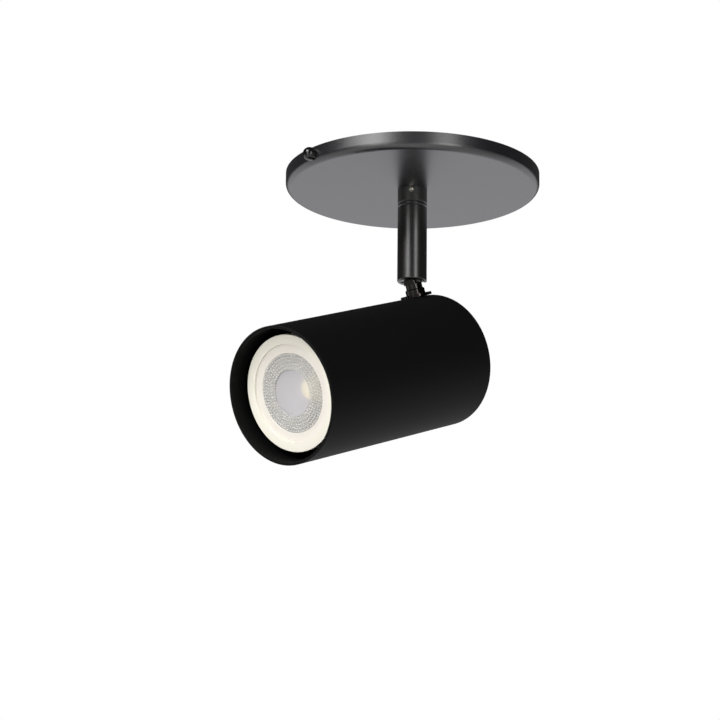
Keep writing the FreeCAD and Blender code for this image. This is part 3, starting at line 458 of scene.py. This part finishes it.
bpy.ops.object.select_all(action="DESELECT")
bpy.ops.mesh.primitive_plane_add(size=FLOOR_SIZE, location=(0, 0, FLOOR_LEVEL))
floor = bpy.context.object
floor.name = "studio_floor"
floor_paint = finish_of("pale studio floor", "#DCDCDA", 0.8)
floor_ray = add_node(floor_paint, "ShaderNodeLightPath").outputs
floor_place = add_node(floor_paint, "ShaderNodeTexCoord").outputs["Object"]
floor_rise = brighter_away(floor_paint, floor_place, dim_at=-0.1, bright_at=0.5, dimmest=0.0)
floor_mirrored = join_values(floor_paint, "MULTIPLY", floor_ray["Is Glossy Ray"], floor_rise)
floor_white = join_values(floor_paint, "MAXIMUM", floor_ray["Is Camera Ray"], floor_mirrored)
floor_glow = add_node(
    floor_paint, "ShaderNodeEmission", Color=chart("#FAFAFF"), Strength=FLOOR_GLOW
)
floor_mix = add_node(
    floor_paint,
    "ShaderNodeMixShader",
    links=[
        (0, floor_white),
        (1, floor_paint.node_tree.nodes["Principled BSDF"].outputs["BSDF"]),
        (2, floor_glow.outputs["Emission"]),
    ],
)
floor_output = floor_paint.node_tree.nodes["Material Output"]
floor_paint.node_tree.links.new(floor_mix.outputs["Shader"], floor_output.inputs["Surface"])
floor.data.materials.append(floor_paint)
print("floor", FLOOR_LEVEL, "m below the ceiling")

# %% World
MIRRORED_WORLD = 0.06

world = bpy.data.worlds.new("white studio")
bpy.context.scene.world = world
world.use_nodes = True
background = world.node_tree.nodes["Background"]
direction = add_node(world, "ShaderNodeTexCoord").outputs["Generated"]
brightness = brighter_away(world, direction, dim_at=-0.25, bright_at=0.55, dimmest=0.45)
world_ray = add_node(world, "ShaderNodeLightPath").outputs
unmirrored = add_node(
    world,
    "ShaderNodeMapRange",
    links=[("Value", world_ray["Is Glossy Ray"])],
    To_Min=1.0,
    To_Max=MIRRORED_WORLD,
)
shining = join_values(world, "MULTIPLY", brightness, unmirrored.outputs["Result"])
seen = join_values(world, "MAXIMUM", world_ray["Is Camera Ray"], shining)
background.inputs["Color"].default_value = (1, 1, 1, 1)
world.node_tree.links.new(seen, background.inputs["Strength"])
print("world made, mirrored at", MIRRORED_WORLD)

# %% [markdown]
# ## Soft boxes
#
# Two tall soft boxes stand left and right of the camera. On the round stem each of them becomes
# one soft upright band, as in the photograph. A third one stands high up on the side where the
# head points and lights the white lamp; the head's own side is turned away and stays dark.

# %% Lamps of the studio
SOFT_BOX_DISTANCE = 1.2
SOFT_BOX_TARGET = Vector((0, 0, -0.07))


def soft_box(name, azimuth, elevation, width, height, power):
    """A rectangular area lamp that looks at the middle of the object; angles in degrees."""
    turn, rise = math.radians(azimuth), math.radians(elevation)
    offset = Vector(
        (math.cos(turn) * math.cos(rise), math.sin(turn) * math.cos(rise), math.sin(rise))
    )
    light = bpy.data.lights.new(name, "AREA")
    light.shape = "RECTANGLE"
    light.size, light.size_y = width, height
    light.energy = power
    lamp = bpy.data.objects.new(name, light)
    bpy.context.collection.objects.link(lamp)
    lamp.location = SOFT_BOX_TARGET + offset * SOFT_BOX_DISTANCE
    lamp.rotation_euler = (-offset).to_track_quat("-Z", "Y").to_euler()
    lamp.visible_camera = False
    return lamp


soft_boxes = [
    soft_box("left soft box", CAMERA_SIDE - 32, 6, width=0.42, height=0.9, power=4.3),
    soft_box("right soft box", CAMERA_SIDE + 29, 6, width=0.36, height=0.9, power=5.0),
    soft_box("lamp soft box", CAMERA_SIDE - 42, 38, width=0.70, height=0.50, power=11.5),
]
print("soft boxes:", [lamp.name for lamp in soft_boxes])

# %% [markdown]
# ## The camera
#
# The camera stands where the photograph was taken from, below the ceiling and a little over a
# metre away, with a long lens. Its place is given as a distance and a drop from the canopy, and
# its aim as a turn to the side, a rise, and a slight lean.

# %% Camera
CAMERA_DISTANCE = 1.0580
CAMERA_DROP = 0.3714
CAMERA_TURN = math.radians(-1.252)
CAMERA_RISE = math.radians(15.007)
CAMERA_LEAN = math.radians(0.636)
CAMERA_LENS_MM = 121.97
SENSOR_MM = 36

ahead = Vector(
    (
        math.sin(CAMERA_TURN) * math.cos(CAMERA_RISE),
        math.cos(CAMERA_TURN) * math.cos(CAMERA_RISE),
        math.sin(CAMERA_RISE),
    )
)
right = Vector((math.cos(CAMERA_TURN), -math.sin(CAMERA_TURN), 0.0))
up = right.cross(ahead)
right_leant = right * math.cos(CAMERA_LEAN) + up * math.sin(CAMERA_LEAN)
up_leant = up * math.cos(CAMERA_LEAN) - right * math.sin(CAMERA_LEAN)
facing = Matrix((right_leant, up_leant, -ahead)).transposed().to_4x4()
round_the_lamp = Matrix.Rotation(CAMERA_AZIMUTH + math.pi / 2, 4, "Z")
stand = Matrix.Translation((0, -CAMERA_DISTANCE, -CAMERA_DROP))

camera_data = bpy.data.cameras.new("photo camera")
camera_data.lens = CAMERA_LENS_MM
camera_data.sensor_width = SENSOR_MM
camera_data.sensor_fit = "HORIZONTAL"
camera = bpy.data.objects.new("photo camera", camera_data)
bpy.context.collection.objects.link(camera)
camera.matrix_world = round_the_lamp @ stand @ facing
bpy.context.scene.camera = camera
bpy.context.scene.view_settings.view_transform = "Standard"
print("camera at", tuple(round(value, 3) for value in camera.location))
